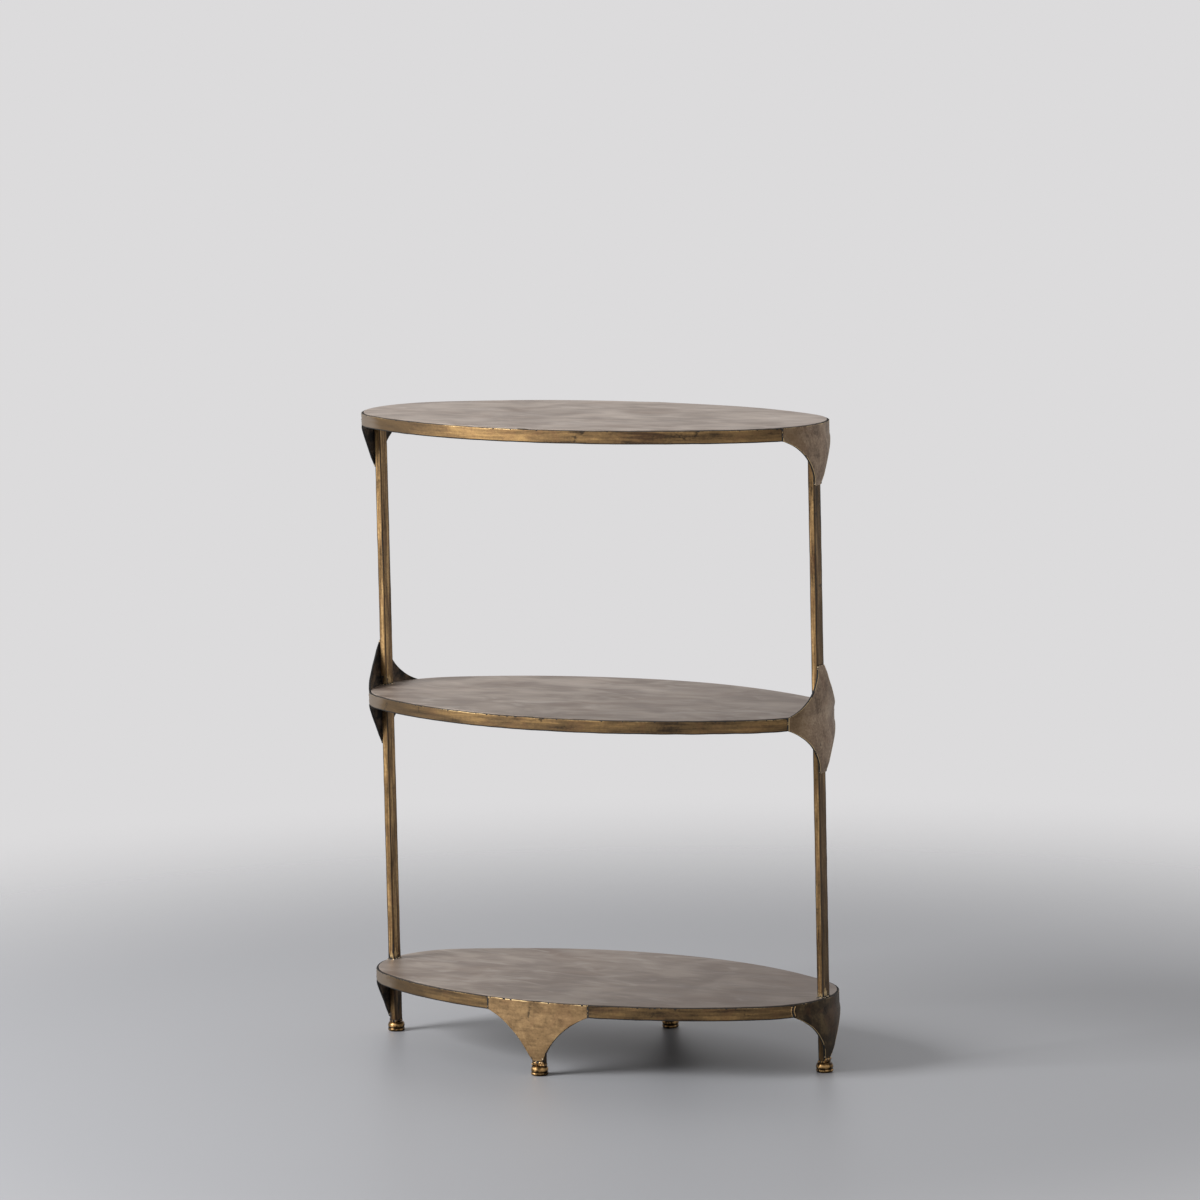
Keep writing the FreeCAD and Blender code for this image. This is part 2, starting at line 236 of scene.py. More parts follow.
def face_outwards():
    """Turn every face of the piece in hand outwards"""
    bpy.ops.mesh.select_all(action="SELECT")
    bpy.ops.mesh.normals_make_consistent(inside=False)


def cut_across(piece, axis, step):
    """Cut a block into equal lengths along an axis, none longer than a step"""
    places = [vertex.co[axis] for vertex in piece.data.vertices]
    length = max(places) - min(places)
    pick(piece, "EDGE", lambda edge: abs(piece.data.vertices[edge.vertices[0]].co[axis]
                                         - piece.data.vertices[edge.vertices[1]].co[axis]) > step)
    bpy.ops.mesh.subdivide(number_cuts=ceil(length / step) - 1)
    close()


def round_arrises(piece, width, rubbed=lambda place: True):
    """Bevel every sharp edge, and remember in an attribute how well a cloth reaches it, which also marks a
    painted highlight
    """
    edit(piece, "EDGE")
    bpy.ops.mesh.edges_select_sharp(sharpness=SHARP_EDGE)
    bpy.ops.mesh.bevel(offset=width, segments=ARRIS_FACES, profile=0.5, affect="EDGES")
    close()
    remember(piece, "rub_and_highlight", lambda vertex: float(vertex.select and rubbed(vertex.co)))


# %% [markdown]
# A band or gusset is made flat on the bench, X along the strip, Y up and Z out of its
# face, and then rolled round the oval. A curve modifier could do that, but the oval is
# known exactly, so each point is simply carried to its place. The roll can bow a piece
# outwards, as hammering does.

# %% Rolling onto the oval
def roll(piece, distance, bow=None):
    """Wrap a flat blank round the oval, its X zero at a distance along it"""
    for vertex in piece.data.vertices:
        along, up, out = vertex.co
        angle = facing(distance + along)
        swell = bow(along, up) if bow else 0.0
        vertex.co = (*oval_point(angle, -out - swell), up)
    piece.data.update()


# %% [markdown]
# No sheet or bar leaves a smithy quite flat. A slow noise on the final places moves each
# point by a fraction of a millimetre, so that highlights break and edges wander a
# little. A displace modifier would push each piece along its own faces and open the seams.
# Here neighbours share the noise, so their seams stay closed.

# %% Marks of the hammer
BLOW_SIZE = 0.022
BLOW_DEPTH = 0.00035
FINER = 4


def beat(piece):
    """Broad blows first, and finer, shallower ones over them"""
    for vertex in piece.data.vertices:
        vertex.co += BLOW_DEPTH * noise.noise_vector(vertex.co / BLOW_SIZE)
        vertex.co += BLOW_DEPTH / FINER * noise.noise_vector(vertex.co / BLOW_SIZE * FINER)
    piece.data.update()


print("hammer marks up to %.2f mm deep" % (BLOW_DEPTH / MILLIMETRE))


# %% [markdown]
# Every piece is handed over at the end of its making. It rides on the welded body, takes a
# finish, and stands for its node. Weld beads stand for none, as the solids leave them out.

# %% Handing a piece over
made = []


def hand_over(piece, finish, node=None):
    if node:
        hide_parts(node)
    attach(piece, "root")
    piece.data.materials.clear()
    piece.data.materials.append(finish)
    made.append(piece)


# %% [markdown]
# Materials are built from nodes. One small class wraps a socket, so that sums on masks
# are written as Python sums, and one method adds any other node.

# %% Sums on a node's output
class Wire:
    """A node's output, ready for sums"""

    def __init__(self, finish, socket):
        self.finish, self.socket = finish, socket

    def sum(self, operation, first, second):
        return self.finish.node("ShaderNodeMath", {"operation": operation}, {0: first, 1: second})

    def __add__(self, other):
        return self.sum("ADD", self, other)

    def __sub__(self, other):
        return self.sum("SUBTRACT", self, other)

    def __rsub__(self, other):
        return self.sum("SUBTRACT", other, self)

    def __mul__(self, other):
        return self.sum("MULTIPLY", self, other)

    __radd__, __rmul__ = __add__, __mul__

    def most(self, other):
        return self.sum("MAXIMUM", self, other)


# %% Colours and a tree of nodes
def colour(red, green, blue):
    """Linear colour from the 0 to 255 values that a screen shows"""
    def linear(value):
        share = value / 255
        return share / 12.92 if share <= 0.04045 else ((share + 0.055) / 1.055) ** 2.4
    return (linear(red), linear(green), linear(blue), 1.0)


class Nodes:
    """A node tree, with one method for any node and a few for what is used often"""

    def __init__(self, tree):
        self.tree = tree

    def feed(self, socket, value):
        if isinstance(value, Wire):
            self.tree.links.new(value.socket, socket)
        else:
            socket.default_value = value

    def node(self, kind, settings=(), inputs=(), output=0):
        node = self.tree.nodes.new(kind)
        for name, value in dict(settings).items():
            setattr(node, name, value)
        for name, value in dict(inputs).items():
            self.feed(node.inputs[name], value)
        return Wire(self, node.outputs[output])

    def place(self):
        """Object coordinates in metres"""
        return self.node("ShaderNodeTexCoord", output="Object")

    def along(self):
        """The flat blank's own map in metres"""
        return self.node("ShaderNodeUVMap", {"uv_map": "along"})

    def attribute(self, name):
        return self.node("ShaderNodeAttribute", {"attribute_name": name}, output="Fac")

    def stretch(self, where, scale, shift=(0.0, 0.0, 0.0)):
        return self.node("ShaderNodeMapping", inputs={"Vector": where, "Scale": scale, "Location": shift})

    def clouds(self, where, scale, detail=4.0, roughness=0.55, warp=0.0):
        return self.node("ShaderNodeTexNoise", inputs={"Vector": where, "Scale": scale, "Detail": detail,
                                                       "Roughness": roughness, "Distortion": warp})

    def between(self, wire, low, high):
        """0 below one value, 1 above another, with a soft step between them"""
        return self.node("ShaderNodeMapRange", {"interpolation_type": "SMOOTHSTEP"},
                         {"Value": wire, "From Min": low, "From Max": high})

    def mix(self, share, first, second):
        return self.node("ShaderNodeMix", {"data_type": "RGBA"}, {0: share, 6: first, 7: second}, 2)

    def bump(self, height, depth):
        """Relief of a given depth in metres"""
        return self.node("ShaderNodeBump", inputs={"Height": height, "Strength": 1.0, "Distance": depth})


# %% A material
class Finish(Nodes):
    """A material with one principled shader"""

    def __init__(self, name, **constants):
        self.material = bpy.data.materials.new(name)
        self.material.use_nodes = True
        super().__init__(self.material.node_tree)
        self.shader = self.tree.nodes["Principled BSDF"]
        self.set(**constants)

    def set(self, **inputs):
        for name, value in inputs.items():
            self.feed(self.shader.inputs[name.replace("_", " ")], value)
        return self.material


# %% [markdown]
# The shelf plates are flat steel sheet under a thin grey-brown lacquer that was wiped on
# by hand. It lies in soft clouds, a little longer than they are wide, with faint streaks
# along the shelf. The rim was rubbed bright, and carries a painted highlight as well. The
# rim's wall is drawn black, a dark line in the groove round it, and the underside is given
# painted shade. The lower tiers get painted shade too, more of it towards the right end. It
# could be painted on an image, but layers of noise need no file and never repeat.

# %% Finish of the plates
TIER_SHADE = colour(70, 57, 48)
# Black for soot and dark joints, and for painted shade.
SOOT_AND_SHADE = colour(16, 14, 11)
DARK_LACQUER, PALE_LACQUER = colour(146, 131, 120), colour(196, 182, 170)
BLOTCH, WISP, RUBBED_AND_HIGHLIGHT_RIM = colour(134, 110, 94), colour(222, 211, 201), colour(196, 184, 168)
BLOTCH_SHARE = WISP_SHARE = 0.36
LACQUER_RELIEF = 0.0006


def plate_finish(name, depth, shade_to_right):
    """A depth of painted shade for a tier, and how much more of it lies at the right end"""
    finish = Finish(name, Metallic=0.45, Specular_IOR_Level=0.25)
    place = finish.place()
    broad = finish.clouds(finish.stretch(place, (1.0, 1.5, 1.0)), 9.0, detail=3.0, roughness=0.45, warp=1.0)
    wiped = finish.clouds(finish.stretch(place, (1.0, 2.4, 1.0), (2.0, 0.0, 0.0)), 17.0, detail=3.0,
                          roughness=0.45, warp=0.8)
    fine = finish.clouds(finish.stretch(place, (1.0, 9.0, 1.0)), 16.0, detail=2.0, roughness=0.5)
    tone = finish.between(broad * 0.52 + wiped * 0.33 + fine * 0.15, 0.33, 0.67)
    base = finish.mix(tone, DARK_LACQUER, PALE_LACQUER)
    blotches = finish.between(finish.clouds(finish.stretch(place, (1.0, 1.6, 1.0), (5.0, 1.0, 0.0)), 6.0,
                                            detail=3.0, roughness=0.5, warp=1.2), 0.5, 0.72)
    base = finish.mix(blotches * BLOTCH_SHARE, base, BLOTCH)
    wisps = finish.between(finish.clouds(finish.stretch(place, (1.0, 2.6, 1.0), (8.0, 3.0, 0.0)), 9.0,
                                         detail=3.0, roughness=0.5, warp=1.6), 0.54, 0.72)
    base = finish.mix(wisps * WISP_SHARE, base, WISP)
    x = finish.node("ShaderNodeSeparateXYZ", inputs={0: place})
    rightward = finish.between(x, -HALF_LENGTH, HALF_LENGTH)
    # Painted shade: the lower plates darken by a depth, and more towards the right end, where the tiers
    # above shade them.
    base = finish.mix(depth + shade_to_right * rightward, base, TIER_SHADE)
    # The rim is rubbed bright, and the same pale colour is partly a painted highlight along its arris.
    rub_and_highlight = finish.attribute("rub_and_highlight") * finish.between(fine, 0.25, 0.55)
    base = finish.mix(rub_and_highlight * 0.7, base, RUBBED_AND_HIGHLIGHT_RIM)
    # Black on the rim's wall in the groove beside the band, and painted shade on the underside.
    soot_and_shade = finish.between(finish.attribute("soot_and_shade"), 0.2, 0.6)
    base = finish.mix(soot_and_shade, base, SOOT_AND_SHADE)
    relief = finish.bump(broad * 0.6 + wiped * 0.4, LACQUER_RELIEF)
    return finish.set(Base_Color=base, Roughness=0.38 + 0.24 * wiped, Normal=relief)


# The middle and bottom plates are copies of the top one with painted shade.
PLATES = {"top": plate_finish("plate_finish", 0.0, 0.0),
          "middle": plate_finish("plate_middle_shaded_finish", 0.04, 0.38),
          "bottom": plate_finish("plate_bottom_shaded_finish", 0.22, 0.42)}
print("finishes of the plates:", [material.name for material in PLATES.values()])

# %% [markdown]
# Bands, gussets and bars share one patina: dark brown stain over warm gold. It was wiped
# along each piece, so it stays in streaks, patches and smudges. Outer arrises were rubbed
# through to bright metal here and there, and the bright colour along them is partly a
# painted highlight. The inner faces and the sheet's cut edges are almost black: partly
# patina that no cloth reached, partly painted shade. Each piece could be painted for
# itself, but one function with a few numbers keeps them one family. The streaks follow the
# flat blank's map, so they bend with the metal. Three attributes of each piece say where it
# is rubbed or given a painted highlight, where it is sooty or given painted shade, and where
# a bar gets more painted shade.

# %% Patina of the bands, gussets and bars
BRIGHT_WEAR_AND_HIGHLIGHT = colour(206, 178, 130)
RUST = colour(112, 78, 54)
PAINTED_SHADE_SHARE, RUST_SHARE, SMUDGE_SHARE = 0.5, 0.22, 0.7
PATINA_RELIEF = 0.0010


def patina(name, tones, streaks, patches, lined, wear, metal, shift=0.0, rough=0.5, grainy=0.15,
           tinted=None):
    """Dark, middle and light tones; streaks and patches to a metre, along and across; share of streaks"""
    dark, middle, light = (colour(*tone) for tone in tones)
    finish = Finish(name)
    place, flat = finish.place(), finish.along()
    lines = finish.clouds(finish.stretch(flat, (*streaks, 1.0), (shift, shift, 0.0)), 1.0,
                          detail=6.0, roughness=0.6, warp=0.2)
    soft = finish.clouds(finish.stretch(flat, (*patches, 1.0), (shift, 0.0, shift)), 1.0,
                         detail=5.0, warp=0.8)
    grain = finish.clouds(place, 260.0, detail=4.0, roughness=0.7)
    tone = lines * lined + soft * (1 - grainy - lined) + grain * grainy
    base = finish.mix(finish.between(tone, 0.38, 0.52), dark, middle)
    base = finish.mix(finish.between(tone, 0.5, 0.62), base, light)
    hue = finish.clouds(finish.stretch(place, (1.0, 1.0, 1.0), (3.0, 5.0, 7.0)), 30.0, detail=4.0, warp=0.8)
    base = finish.mix(finish.between(hue, 0.5, 0.64) * RUST_SHARE, base, RUST)
    if tinted:
        base = tinted(finish, base, soft)
    # Painted shade on the right hand bars, as their attribute says.
    base = finish.mix(finish.attribute("painted_shade") * PAINTED_SHADE_SHARE, base, dark)
    smudges = finish.between(hue * 0.8 + grain * 0.2, 0.38, 0.31)
    scratches = finish.between(finish.clouds(finish.stretch(flat, (streaks[0], 2.5 * streaks[1], 1.0),
                                                            (shift, 4.0, 0.0)), 1.0, detail=3.0), 0.64, 0.7)
    base = finish.mix((smudges * SMUDGE_SHARE).most(scratches * lined), base, SOOT_AND_SHADE)
    # Arrises rubbed bright, partly a painted highlight along them.
    rub_and_highlight = finish.between(finish.attribute("rub_and_highlight") + (soft - 0.5) * 1.6 + (grain - 0.5) * 0.8,
                         wear, wear + 0.25)
    base = finish.mix(rub_and_highlight, base, BRIGHT_WEAR_AND_HIGHLIGHT)
    nicks = finish.between(finish.clouds(finish.stretch(flat, (150.0, 40.0, 1.0)), 1.0, detail=2.0),
                           0.6, 0.66)
    # Black on cut edges, inner faces and grooves, and at seams: patina and dark joints, and partly painted
    # shade.
    soot_and_shade = finish.between(finish.attribute("soot_and_shade") + nicks * finish.attribute("rub_and_highlight")
                          + (lines - 0.5) * 0.8 + (grain - 0.5) * 0.3, 0.4, 0.7)
    base = finish.mix(soot_and_shade, base, SOOT_AND_SHADE)
    relief = finish.bump(lines * 0.25 + soft * 0.55 + grain * 0.2, PATINA_RELIEF)
    return finish.set(Base_Color=base, Metallic=metal - metal * soot_and_shade, Normal=relief,
                      Roughness=rough + 0.16 * (0.5 - tone) - 0.12 * rub_and_highlight + 0.3 * soot_and_shade)


# %% [markdown]
# Two tints lie in known places, so they are given by place and not left to the noise: the
# bands' left end, darker and then taupe, where the taupe is a painted reflection of the pale
# room, and the gold at the gussets' sides, whose greyer middle is partly a painted reflection.

# %% Tints by place
LEFTWARD_BROWN, REFLECTED_TAUPE, SIDE_GOLD = colour(86, 68, 45), colour(122, 109, 95), colour(112, 88, 54)


def left_end_dark_and_reflection(finish, base, soft):
    """The bands darken towards the left end, and the end itself is painted taupe, a painted reflection of
    the pale room
    """
    x = finish.node("ShaderNodeSeparateXYZ", inputs={0: finish.place()})
    edge = x + (soft - 0.5) * 0.1
    base = finish.mix(finish.between(edge, -0.1, -0.28) * 0.8, base, LEFTWARD_BROWN)
    return finish.mix(finish.between(edge, -0.285, -0.325), base, REFLECTED_TAUPE)


def warm_sides(finish, base, soft):
    """A gusset keeps more gold towards its seams, partly its own colour; the greyer middle is partly a
    painted reflection
    """
    x = finish.node("ShaderNodeSeparateXYZ", inputs={0: finish.along()})
    away = finish.node("ShaderNodeMath", {"operation": "ABSOLUTE"}, {0: x})
    warmth = finish.between(away + (soft - 0.5) * 0.03, 0.02, 0.06)
    return finish.mix(warmth * 0.55, base, SIDE_GOLD)


# %% Finishes of the bands, gussets and bars
def band_patina(name, tones):
    return patina(name, tones, streaks=(12.0, 200.0), patches=(9.0, 50.0), lined=0.34, wear=1.0,
                  metal=0.7, rough=0.55, tinted=left_end_dark_and_reflection)


UPPER_BAND = band_patina("band_finish", ((62, 47, 30), (122, 96, 62), (160, 128, 82)))
# The middle and bottom bands take darker tones: painted shade from the tiers above.
SHADED_LOWER_BAND = band_patina("band_lower_shaded_finish", ((50, 38, 25), (104, 82, 53), (142, 113, 72)))
GUSSET = patina("gusset_finish", ((104, 86, 69), (140, 119, 98), (168, 147, 124)),
                streaks=(30.0, 50.0), patches=(40.0, 24.0), lined=0.1, wear=0.9, metal=0.55,
                shift=2.0, rough=0.52, grainy=0.4, tinted=warm_sides)
GOLD_GUSSET = patina("gusset_gold_finish", ((108, 85, 56), (142, 114, 78), (162, 132, 92)),
                     streaks=(22.0, 220.0), patches=(34.0, 54.0), lined=0.22, wear=0.9, metal=0.6,
                     rough=0.6, grainy=0.3)
# The bottom right gusset is darker: partly its own patina, partly painted shade near the floor.
DARK_AND_SHADED_GUSSET = patina("gusset_dark_and_shaded_finish", ((36, 28, 18), (62, 50, 34), (90, 74, 50)),
                     streaks=(30.0, 50.0), patches=(36.0, 30.0), lined=0.12, wear=1.1, metal=0.75,
                     shift=5.0, rough=0.52, grainy=0.3)
BAR = patina("bar_finish", ((46, 34, 20), (128, 101, 66), (190, 156, 106)),
             streaks=(280.0, 11.0), patches=(90.0, 9.0), lined=0.5, wear=0.95, metal=0.85)
# The legs take a darker copy of the bars' patina, as painted shade under the bottom plate.
SHADED_LEG = patina("leg_shaded_finish", ((34, 26, 16), (78, 60, 37), (116, 92, 58)),
             streaks=(280.0, 11.0), patches=(90.0, 20.0), lined=0.4, wear=0.95, metal=0.85)
print("finishes of the bands, gussets and bars:", [material.name for material in (
    UPPER_BAND, SHADED_LOWER_BAND, GUSSET, GOLD_GUSSET, DARK_AND_SHADED_GUSSET, BAR, SHADED_LEG)])

# %% [markdown]
# The feet are turned and polished to a dark bronze. The welds are left as they came from
# the torch: black, with silvery tops where a file touched them. Both are small, so one
# noise on the object's own coordinates is enough, and no map is laid.

# %% Finish of the feet and welds
DARK_BRONZE, PALE_BRONZE, HIGHLIGHT_BRONZE = colour(46, 34, 21), colour(110, 84, 52), colour(188, 151, 101)
BLACK_SCALE = colour(22, 18, 13)
FOOT_RELIEF, WELD_RELIEF = 0.0004, 0.0005


def foot_finish():
    finish = Finish("foot_finish", Metallic=1.0)
    clouds = finish.clouds(finish.place(), 150.0, detail=4.0)
    base = finish.mix(finish.between(clouds, 0.38, 0.62), DARK_BRONZE, PALE_BRONZE)
    # Painted highlights: bright rings on the foot's lip and bead.
    rub_and_highlight = finish.between(finish.attribute("rub_and_highlight") + (clouds - 0.5) * 2.2, 0.65, 1.3)
    base = finish.mix(rub_and_highlight, base, HIGHLIGHT_BRONZE)
    # Painted shade in the groove, and a painted contact shadow at the sole.
    base = finish.mix(finish.attribute("soot_and_shade") * 0.55, base, SOOT_AND_SHADE)
    return finish.set(Base_Color=base, Roughness=0.28 + 0.2 * clouds,
                      Normal=finish.bump(clouds, FOOT_RELIEF))


def weld_finish(name, bright, share):
    """Black scale, and the share of the bead that shows bright"""
    finish = Finish(name)
    place = finish.place()
    grain = finish.clouds(place, 420.0, detail=3.0)
    smears = finish.clouds(place, 170.0, detail=2.0)
    bare = finish.between(grain * 0.4 + smears * 0.6, 0.62 - 0.3 * share, 0.7 - 0.3 * share)
    base = finish.mix(bare, BLACK_SCALE, bright)
    return finish.set(Base_Color=base, Metallic=0.9 * bare, Roughness=0.5 - 0.2 * bare,
                      Normal=finish.bump(grain, WELD_RELIEF))


FOOT = foot_finish()
SEAM_WELD = weld_finish("seam_weld_finish", colour(168, 140, 100), 0.35)
TACK_WELD = weld_finish("tack_weld_finish", colour(206, 184, 152), 0.5)
FOOT_WELD = weld_finish("foot_weld_finish", colour(170, 134, 88), 0.62)
RIPPLE_WELD = weld_finish("ripple_weld_finish", colour(196, 160, 112), 0.9)
print("finishes of the feet and welds:", [material.name for material in (
    FOOT, SEAM_WELD, TACK_WELD, FOOT_WELD, RIPPLE_WELD)])

# %% [markdown]
# A shelf plate is an oval disc. A round disc with many sides is moulded onto the oval and
# drawn down by the sheet's thickness, and its arris is rounded. A round disc squashed flat
# would be quicker, but that gives an ellipse, and the bands round it are arcs. Rings towards
# the middle let the sheet sag and swell by a hair, which shows in long reflections.

# %% Shelf plates
PLATE_INSET = span("top_gusset_right", 0)[1] - span("top_plate", 0)[1]
PLATE_SIDES = 360
PLATE_ROUNDING = 0.0003
ROUNDING_WIPED = 0.9
RIM_INSETS = (0.0012, 0.006)
RING_SHARES = (0.9, 0.9, 0.85, 0.8, 0.7, 0.5)
WAVE_SIZE, WAVE_DEPTH = 0.13, 0.0005
FLAT_RIM = 0.05
UNDERSIDE_SHADE = 0.4


def shelf_plate(tier):
    node = tier + "_plate"
    low, high = span(node, 2)
    bpy.ops.object.select_all(action="DESELECT")
    bpy.ops.mesh.primitive_circle_add(vertices=PLATE_SIDES, radius=1, fill_type="NGON")
    piece = start(node + "_sheet")
    for vertex in piece.data.vertices:
        angle = atan2(vertex.co.y, vertex.co.x)
        vertex.co = (*oval_point(angle, PLATE_INSET), high)
    pick(piece, "FACE", lambda face: True)
    bpy.ops.mesh.extrude_region_move(TRANSFORM_OT_translate={"value": (0, 0, low - high)})
    face_outwards()
    close()
    round_arrises(piece, PLATE_ROUNDING)
    for up in (1, -1):
        pick(piece, "FACE", lambda face: face.normal.z * up > LEVEL and len(face.vertices) == PLATE_SIDES)
        for inset in RIM_INSETS:
            bpy.ops.mesh.inset(thickness=inset)
        for share in RING_SHARES:
            bpy.ops.mesh.extrude_region_move(TRANSFORM_OT_translate={"value": (0, 0, 0)})
            bpy.ops.transform.resize(value=(share, share, 1), center_override=(0, 0, high))
        close()

    def from_rim(vertex):
        return (vertex.co.xy - oval_point(atan2(vertex.co.y, vertex.co.x), PLATE_INSET)).length

    def at_rim(vertex):
        return from_rim(vertex) < RIM_INSETS[0] / 2

    # Black on the rim's wall below its rounding, and painted shade on the rest of the sheet below its top.
    def soot_and_shade(vertex):
        if vertex.co.z > high - PLATE_ROUNDING * ROUNDING_WIPED:
            return 0.0
        return 1.0 if at_rim(vertex) else UNDERSIDE_SHADE

    remember(piece, "soot_and_shade", soot_and_shade)
    # The rim's arris: rubbed, and partly a painted highlight.
    remember(piece, "rub_and_highlight", lambda vertex: float(at_rim(vertex)))
    for vertex in piece.data.vertices:
        inner = min(1.0, from_rim(vertex) / FLAT_RIM)
        vertex.co.z += WAVE_DEPTH * inner * noise.noise(vertex.co / WAVE_SIZE)
    soften(piece)
    hand_over(piece, PLATES[tier], node)


for tier in TIERS:
    shelf_plate(tier)
print("plates made, inset %.4f m" % PLATE_INSET)

# %% [markdown]
# A band is a strip of the same sheet on edge, and runs from one gusset to the next. It
# could be cut out of an oval ring, but only a flat strip has a map that follows the metal.
# So it starts as a long block, and its arrises are filed round before it is rolled.

# %% Bands
ARRIS = 0.0008
EDGE_ROW = 0.0026
SEAM_DIRT = 0.004
STRIP_STEP, STRIP_ROW = 0.007, 0.004
HAIR = 0.05 * MILLIMETRE
RUBBED_DEPTH = 0.6 * ARRIS
WIPED_TOP, WIPED_EDGE = 0.4, 0.05
INNER_SOOT_AND_SHADE, LEDGE_DARK = 0.6, 0.8


def edge_row(piece):
    """A narrow row of faces round the face of a flat blank, so that wear can stay near its edge"""
    pick(piece, "FACE", looks_out)
    bpy.ops.mesh.inset(thickness=EDGE_ROW)
    close()


def soot_and_shade_at(out, wiped):
    """Black at a depth: none on the wiped share of an arris, all on a cut edge, some on an inner face;
    partly patina, partly painted shade
    """
    if out > -ARRIS * wiped:
        return 0.0
    return 1.0 if out > HAIR - SHEET else INNER_SOOT_AND_SHADE


def ledge_dark(out):
    """The upper edge is mostly black on its outer side, and black in the groove beside the plate"""
    return LEDGE_DARK if out > HAIR - SHEET else 1.0


def band(node, begin, end):
    low, high = span(node, 2)
    length = end - begin
    bpy.ops.object.select_all(action="DESELECT")
    bpy.ops.mesh.primitive_cube_add(size=1, scale=(length, high - low, SHEET),
                                    location=(length / 2, (low + high) / 2, -SHEET / 2))
    piece = start(node + "_strip")
    cut_across(piece, 0, STRIP_STEP)
    cut_across(piece, 1, STRIP_ROW)
    edge_row(piece)

    # Where a band's arrises are rubbed bright, partly as a painted highlight: not near the seams, nor on
    # the lower arris or the inner side.
    def rubbed(at):
        return (SEAM_DIRT < at.x < length - SEAM_DIRT and at.y > low + ARRIS + HAIR
                and at.z > -RUBBED_DEPTH)

    # Black at the band's ends, which are dark joints, and on its lower arris as painted shade; the rest by
    # depth and at the upper edge.
    def soot_and_shade(vertex):
        along, up, out = vertex.co
        if up < low + ARRIS + HAIR or not ARRIS + HAIR < along < length - ARRIS - HAIR:
            return 1.0
        return ledge_dark(out) if up > high - HAIR else soot_and_shade_at(out, WIPED_EDGE)

    round_arrises(piece, ARRIS, rubbed)
    remember(piece, "soot_and_shade", soot_and_shade)
    lay_map(piece)
    roll(piece, begin)
    beat(piece)
    soften(piece)
    # The lower tiers take the darker band finish, which carries painted shade.
    hand_over(piece, UPPER_BAND if node.startswith("top") else SHADED_LOWER_BAND, node)


# %% [markdown]
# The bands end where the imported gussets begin. A node's box gives that place straight
# across, and its arc sine gives how far it is along the curve.

# %% Where the bands end
EDGE_CURVES = {"right": END_RADIUS, "left": END_RADIUS, "front": SIDE_RADIUS, "back": SIDE_RADIUS}


def seam_distance(side, end):
    """How far along the oval a gusset ends, from the middle of its side"""
    curve = EDGE_CURVES[side]
    return curve * asin(end / curve)


END_SEAM = seam_distance("right", span("top_band_back", 1)[0])
SIDE_SEAM = seam_distance("back", span("bottom_band_back_right", 0)[0])
for tier in ("top", "middle"):
    band(tier + "_band_back", END_SEAM, GIRTH / 2 - END_SEAM)
    band(tier + "_band_front", GIRTH / 2 + END_SEAM, GIRTH - END_SEAM)
band("bottom_band_back_right", END_SEAM, GIRTH / 4 - SIDE_SEAM)
band("bottom_band_back_left", GIRTH / 4 + SIDE_SEAM, GIRTH / 2 - END_SEAM)
band("bottom_band_front_left", GIRTH / 2 + END_SEAM, GIRTH * 3 / 4 - SIDE_SEAM)
band("bottom_band_front_right", GIRTH * 3 / 4 + SIDE_SEAM, GIRTH - END_SEAM)
print("bands made, seams %.4f and %.4f m from the middles" % (END_SEAM, SIDE_SEAM))

# %% [markdown]
# A gusset is a leaf of the same sheet. It is drawn up row by row: a strip as wide as the
# bar at its tip is extruded upwards and widened a little at each step, so that its sides
# follow the two hollow curves. It could be cut out of a sheet by a boolean, but that leaves
# ragged faces along the curves, just where the light catches them.

# %% Outline of the gussets
HOLLOW = {"right": 0.105, "left": 0.105, "front": 0.130, "back": 0.130}
HOLLOW_STEPS = 18
BAND_ROWS = 3
HALF_TIP = 0.010
TIP_CORNER, TIP_STEPS = 0.004, 5


def hollow_rows(half_seam, reach, radius):
    """Rows of a hollow edge from the tip to the seam: height over the tip, half width"""
    tip, seam = Vector((HALF_TIP, 0.0)), Vector((half_seam, reach))
    chord = seam - tip
    away = Vector((chord.y, -chord.x)).normalized()
    centre = (tip + seam) / 2 + away * (radius ** 2 - chord.length_squared / 4) ** 0.5
    first, last = (atan2(*(point - centre).yx) % (2 * pi) for point in (tip, seam))
    angles = np.linspace(first, last, HOLLOW_STEPS + 1)
    return [(centre.y + radius * sin(angle), centre.x + radius * cos(angle)) for angle in angles]


def leaf_rows(node, side, band_low, band_high):
    """Rows of a whole gusset, from the lowest up"""
    across = 1 if side in ("left", "right") else 0
    half_seam = span(node, across)[1]
    low, high = span(node, 2)
    hollow = hollow_rows(half_seam, band_low - low, HOLLOW[side])
    heights, halves = zip(*hollow)
    tip_heights = [TIP_CORNER * (1 - cos(step * pi / 2 / TIP_STEPS)) for step in range(TIP_STEPS)]
    hollow = [(height, float(np.interp(height, heights, halves)) - TIP_CORNER
               + (TIP_CORNER ** 2 - (TIP_CORNER - height) ** 2) ** 0.5) for height in tip_heights]
    hollow += [(height, half) for height, half in zip(heights, halves) if height >= TIP_CORNER]
    rows = [(low + height, half) for height, half in hollow]
    rows += [(band_low + (band_high - EDGE_ROW - band_low) * step / BAND_ROWS, half_seam)
             for step in range(1, BAND_ROWS + 1)]
    rows += [(band_high, half_seam)]
    if high - band_high > SHEET:
        rows += [(high - height, half) for height, half in reversed(hollow[:-1])]
    return rows


print("hollow edge:", [tuple(round(number, 4) for number in row) for row in
                       hollow_rows(0.07, 0.07, HOLLOW["right"])[::6]])

# %% Drawing a leaf
LEAF_COLUMNS = 28
TIP_GROUND, TIP_THICK = 0.016, 0.0010


